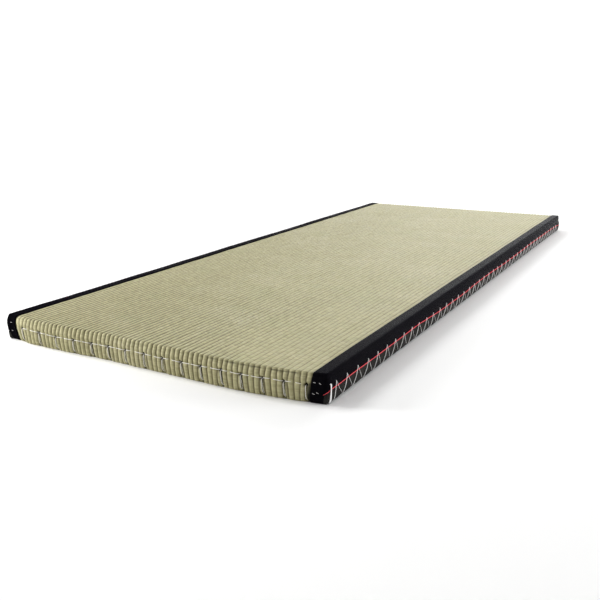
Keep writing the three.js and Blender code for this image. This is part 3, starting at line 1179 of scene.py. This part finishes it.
def side_zigzag(name, side):
    """The white thread that laces the lower half of a side, and the stout tie beside each corner."""
    threads = Threads()
    draw = np.random.RandomState(70 + side)
    radius = sizes().thread_radius
    for near, place, far in stitches(side):
        top = float(through(ZIGZAG_LINE, seam_place(side, place))) + draw.uniform(-0.7, 0.7) * MM
        way = 1 if near < far else -1
        near_leg = [
            (near - 1 * MM, 1.2 * MM, -1.2 * MM),
            (near, 4 * MM, 0.5 * MM),
            (near * 0.45 + place * 0.55 - 1.6 * MM, 19 * MM, 0.6 * MM),
            (place - 0.6 * MM * way, top - 1.5 * MM, 0.9 * MM),
            (place + 0.3 * MM * way, top + 0.6 * MM, 0.8 * MM),
            (place + 0.2 * MM * way, top + 1.8 * MM, -1.4 * MM),
        ]
        far_leg = [
            (place + 0.6 * MM * way, top + 0.4 * MM, -0.6 * MM),
            (place + 1.4 * MM * way, top - 1.2 * MM, 0.7 * MM),
            (place * 0.5 + far * 0.5 - 0.4 * MM, 19.5 * MM, 0.4 * MM),
            (far, 6.5 * MM, 0.4 * MM),
            (far + 1.5 * MM * way, 3.8 * MM, -1.4 * MM),
        ]
        peak = place + 0.1 * MM * way
        bead = [on_side(side, peak, top + rise * MM, 0.9 * MM) for rise in (-0.9, 0, 1)]
        threads.add(over(on_side, side, near_leg), radius)
        threads.add(over(on_side, side, far_leg), 0.52 * radius)
        threads.add(bead, 1.3 * radius, step=0.7 * MM)
    for place, way in ((-0.5 * MM, 1), (SIDE_LENGTH + 0.5 * MM, -1)):
        for strand, splay in ((-0.8, -0.4 * MM), (0.8, 3.2 * MM)):
            apart = place + way * strand * radius
            tie = [
                (apart + way * strand * 1.3 * MM, TIE_HEIGHT, -1.2 * MM),
                (apart + way * strand * 0.8 * MM, TIE_HEIGHT - 1.8 * MM, 0.9 * MM),
                (apart, TIE_HEIGHT - 7 * MM, 1.3 * MM),
                (apart + way * 0.25 * splay, 20 * MM, 1.2 * MM),
                (apart + way * splay, 5.5 * MM, 0.8 * MM),
                (apart + way * splay, 2.0 * MM, -1.0 * MM),
            ]
            threads.add(over(on_side, side, tie), (1.8 if strand < 0 else 1.3) * radius)
    return threads.made(name, thread_finish("white thread", colours().white_thread, 4.5 * MM, 0.7))


CORD_POINTS = 320


def red_cord(name, side):
    """The red cord along the side, which slants down as it passes round each corner."""
    threads = Threads()
    reach = ARC + 2 * MM
    near_reach = reach if side > 0 else 0.35 * ARC
    places = np.linspace(-near_reach, SIDE_LENGTH + reach, CORD_POINTS)
    radius = sizes().cord_radius
    past = np.maximum(-places, places - SIDE_LENGTH) / ARC
    lift = radius * (0.8 - 1.7 * smoothstep(0.0, 1.2, past))
    route = [on_side(side, place, cord_line(side, place), up) for place, up in zip(places, lift)]
    for end, outer in ((0, -near_reach - 3 * MM), (-1, SIDE_LENGTH + reach + 3 * MM)):
        tucked = on_side(side, outer, cord_line(side, outer), -2.2 * MM)
        route.insert(0 if end == 0 else len(route), tucked)
    threads.add(route, radius, step=3 * MM)
    return threads.made(name, thread_finish("red cord", colours().red_thread, 3.6 * MM, 0.7))


def on_end(end, x, z, lift):
    """A point over the facing at an end, lifted off its ribs."""
    inset = wall_inset(np.array(z), facing_rounding(x)) + FACING_SINK - lift
    y = near_line(x) + inset if end < 0 else FAR_END - inset
    return float(x), float(y), float(z)


def end_stitching(name, end):
    """The running stitch across an end, and the ties that go down from each of its holes."""
    threads = Threads()
    draw = np.random.RandomState(90 + end)
    holes = ties(end)
    radius = sizes().thread_radius
    for (this, level), (after, next_level) in zip(holes, holes[1:]):
        span, climb = after - this, next_level - level
        rise = draw.uniform(0.8, 1.8) * MM
        leave, enter = draw.uniform(0.28, 0.48), draw.uniform(0.54, 0.62)

        # The last stitch ends short of its tie
        short = after > STRAIGHT_TIE
        stop = 0.78 if short else 0.895
        tucked = this + 0.82 * span if short else after - 1.2 * MM
        first = [
            (this + 1.2 * MM, level, -4.6 * MM),
            (this + 0.125 * span, level + 0.6 * rise, -1.0 * MM),
            (this + 0.55 * leave * span, level + rise + 0.2 * climb, 0.1 * MM),
            (this + leave * span, level + rise + 0.35 * climb, -0.1 * MM),
            (this + (leave + 0.04) * span, level + rise + 0.4 * climb, -2.6 * MM),
        ]
        second = [
            (this + (enter - 0.04) * span, level + rise + 0.55 * climb, -2.6 * MM),
            (this + enter * span, level + rise + 0.6 * climb, -0.1 * MM),
            (this + 0.5 * (enter + stop) * span, level + 0.8 * rise + 0.76 * climb, 0.1 * MM),
            (this + stop * span, level + 0.3 * rise + 0.92 * climb, -1.0 * MM),
            (tucked, next_level, -4.6 * MM),
        ]
        threads.add(over(on_end, end, first), 1.1 * radius)
        threads.add(over(on_end, end, second), 1.1 * radius)
    for place, top in holes:
        straight = place > STRAIGHT_TIE
        lean = 0 if straight else draw.uniform(-1.5, 2.5) * MM
        bow = 0 if straight else draw.uniform(1, 5) * MM
        for strand, sideways, thick in ((0, 0, 0.85), (0.9 * radius, bow, 0.5)):
            across = place + strand
            down = [
                (across, top - 1.6 * MM, -5.4 * MM),
                (across + 0.2 * sideways, top - 4.0 * MM, -0.8 * MM),
                (across + 0.9 * sideways + 0.4 * lean, 16 * MM, -0.1 * MM),
                (across + 0.9 * sideways + 0.8 * lean, 8 * MM, -1.0 * MM),
                (across + 0.4 * sideways + lean, 2.5 * MM, -6 * MM),
            ]
            threads.add(over(on_end, end, down), thick * radius)
    return threads.made(name, thread_finish("end thread", colours().end_thread, 4.0 * MM, 0.7))


# By side and end: distance past the corner's arc in from the side, height and slant, in millimetres
TACKS = {
    (1, -1): ((16.0, 40.5, -0.4), (5.6, 39.6, -1.0), (18.3, 18.9, -0.8), (11.1, 21.3, -1.0)),
    (-1, -1): ((3.0, 39.7, 0.0), (-7.0, 40.8, 0.3), (3.4, 20.9, 0.4), (-6.5, 19.5, 0.3)),
    (1, 1): ((6.0, 40.0, 0.5), (16.0, 40.3, 0.2), (7.0, 20.0, 0.4), (17.0, 19.5, 0.3)),
    (-1, 1): ((6.5, 40.2, 0.3), (16.5, 39.6, 0.5), (8.0, 20.4, 0.2), (17.5, 20.2, 0.6)),
}


def tack_stitches(name):
    """The short stitches that hold the folded ends of the borders."""
    threads = Threads()
    tacks = [(*place, *tack) for place, group in TACKS.items() for tack in group]
    for side, end, inward, z, slant in tacks:
        place = -(ARC + inward * MM) if end < 0 else SIDE_LENGTH + ARC + inward * MM
        middle, lean = z * MM, slant * MM
        stitch = [
            (place - 1.9 * MM, middle - lean, -1.0 * MM),
            (place - 1.1 * MM, middle - lean * 0.6, 0.35 * MM),
            (place + 1.1 * MM, middle + lean * 0.6, 0.35 * MM),
            (place + 1.9 * MM, middle + lean, -1.0 * MM),
        ]
        threads.add(over(on_side, side, stitch), 0.6 * MM, step=0.6 * MM)
    return threads.made(name, thread_finish("tack thread", [0.55, 0.54, 0.53], 3.0 * MM))


# Operators


class MAT_OT_stage(bpy.types.Operator):
    """Sets up the pale floor, the soft studio light and the camera"""

    bl_idname = "mat.stage"
    bl_label = "Stage"

    def execute(self, context):
        scene = context.scene
        stage = scene.mat_stage
        camera = bpy.data.cameras.new("camera")
        camera.lens = stage.lens
        camera.sensor_width = 36
        camera.clip_end = 100
        made = bpy.data.objects.new("camera", camera)
        turn = Vector(stage.camera_forward).to_track_quat("-Z", "Y").to_matrix().to_4x4()
        roll = Matrix.Rotation(stage.camera_roll, 4, "Z")
        made.matrix_world = Matrix.Translation(stage.camera_place) @ turn @ roll
        scene.collection.objects.link(made)
        scene.camera = made
        self.floor()
        self.light("end", (-1.6, -1.6, 0.7), (-0.4, -1.0, 0.0), (0.5, 0.5), 30)
        self.light("side", (3.0, 0.5, 0.4), (0.3, 0.2, 0.0), (1.4, 0.4), 84)
        self.light("key", (-3.3, -0.7, 3.4), (0.0, -0.4, 0.0), (1.6, 1.6), 101)
        self.light("back", (-0.2, 3.4, 1.7), (0.0, 0.7, 0.0), (2.6, 0.9), 54)
        self.light("backdrop", (-4.0, 3.0, 3.4), (-4.0, 6.4, 1.4), (9.0, 1.0), 230)
        world = bpy.data.worlds.new("studio")
        world.use_nodes = True
        world.node_tree.nodes["Background"].inputs["Color"].default_value = (1, 1, 1, 1)
        world.node_tree.nodes["Background"].inputs["Strength"].default_value = 0.40
        scene.world = world
        scene.view_settings.view_transform = "Standard"
        return {"FINISHED"}

    def floor(self):
        """A floor that sweeps up behind the mat."""
        depth, bend, wall, half, drop = 4.0, 2.0, 6.0, 14.0, 0.4 * MM
        turn = np.linspace(0, math.pi / 2, 24)
        y = np.concatenate([[-10, depth], depth + bend * np.sin(turn), [depth + bend]])
        z = np.concatenate([[0, 0], bend * (1 - np.cos(turn)), [wall]]) - drop
        points = np.stack(
            [np.stack([np.full(len(y), x), y, z], axis=-1) for x in (-half, half)], axis=1
        )
        mesh = mesh_from("floor", points.reshape(-1, 3), grid_faces(len(y), 2).tolist())
        shade = colours().floor

        def build(graph):
            place = graph.node("ShaderNodeTexCoord").outputs["Object"]
            grain = graph.remap(graph.noise(place, 3.0), 0.3, 0.7, 0.97, 1.0)
            return {"Color": graph.mix(grain, opaque(shade, 0.96), opaque(shade))}

        new_object("floor", mesh, [finish("pale floor", build, Roughness=0.9)])

    def light(self, name, place, aim, size, power):
        lamp = bpy.data.lights.new(name, "AREA")
        lamp.shape = "RECTANGLE"
        lamp.size, lamp.size_y = size
        lamp.energy = power
        made = bpy.data.objects.new(name, lamp)
        made.location = place
        made.rotation_mode = "QUATERNION"
        made.rotation_quaternion = (Vector(aim) - Vector(place)).to_track_quat("-Z", "Y")
        bpy.context.scene.collection.objects.link(made)


class MAT_OT_facing(bpy.types.Operator):
    """Makes the filled mat with its ribbed rush facing and plain backing"""

    bl_idname = "mat.facing"
    bl_label = "Rush facing"

    def execute(self, context):
        mat = woven_mat()
        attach(mat, BODY)
        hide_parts("rush_mat")
        return {"FINISHED"}


class MAT_OT_borders(bpy.types.Operator):
    """Makes the two black cloth borders"""

    bl_idname = "mat.borders"
    bl_label = "Borders"

    def execute(self, context):
        for name, side in (("border_cloth_right", 1), ("border_cloth_left", -1)):
            cloth = border_cloth(name, side)
            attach(cloth, BODY)
            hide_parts("border_right" if side > 0 else "border_left")
        return {"FINISHED"}


class MAT_OT_side_sewing(bpy.types.Operator):
    """Makes the zigzag lacing and the red cord on both long sides"""

    bl_idname = "mat.side_sewing"
    bl_label = "Side sewing"

    def execute(self, context):
        for name, side in (("right", 1), ("left", -1)):
            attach(side_zigzag("zigzag_thread_" + name, side), BODY)
            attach(red_cord("red_cord_" + name, side), BODY)
        return {"FINISHED"}


class MAT_OT_end_sewing(bpy.types.Operator):
    """Makes the running stitch and ties on both ends, and the tacks on the borders' ends"""

    bl_idname = "mat.end_sewing"
    bl_label = "End sewing"

    def execute(self, context):
        for name, end in (("near", -1), ("far", 1)):
            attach(end_stitching("end_thread_" + name, end), BODY)
        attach(tack_stitches("tack_stitches"), BODY)
        return {"FINISHED"}


OPERATORS = (
    MAT_OT_stage,
    MAT_OT_facing,
    MAT_OT_borders,
    MAT_OT_side_sewing,
    MAT_OT_end_sewing,
)


class MAT_PT_dressing(bpy.types.Panel):
    """Lists the mat's pieces in the sidebar"""

    bl_label = "Rush mat"
    bl_idname = "MAT_PT_dressing"
    bl_space_type = "VIEW_3D"
    bl_region_type = "UI"
    bl_category = "Mat"

    def draw(self, context):
        for operator in OPERATORS:
            self.layout.operator(operator.bl_idname)
        for group in (context.scene.mat_sizes, context.scene.mat_colours, context.scene.mat_stage):
            column = self.layout.column()
            for name in group.__annotations__:
                column.prop(group, name)


GROUPS_OF_PROPERTIES = {"mat_sizes": MatSizes, "mat_colours": MatColours, "mat_stage": MatStage}


def register():
    for kind in (*GROUPS_OF_PROPERTIES.values(), *OPERATORS, MAT_PT_dressing):
        bpy.utils.register_class(kind)
    for name, kind in GROUPS_OF_PROPERTIES.items():
        setattr(bpy.types.Scene, name, bpy.props.PointerProperty(type=kind))


def unregister():
    for name in GROUPS_OF_PROPERTIES:
        delattr(bpy.types.Scene, name)
    for kind in (MAT_PT_dressing, *OPERATORS, *GROUPS_OF_PROPERTIES.values()):
        bpy.utils.unregister_class(kind)


def main():
    register()
    bpy.ops.mat.stage()
    bpy.ops.mat.facing()
    bpy.ops.mat.borders()
    bpy.ops.mat.side_sewing()
    bpy.ops.mat.end_sewing()


if __name__ == "__main__":
    main()
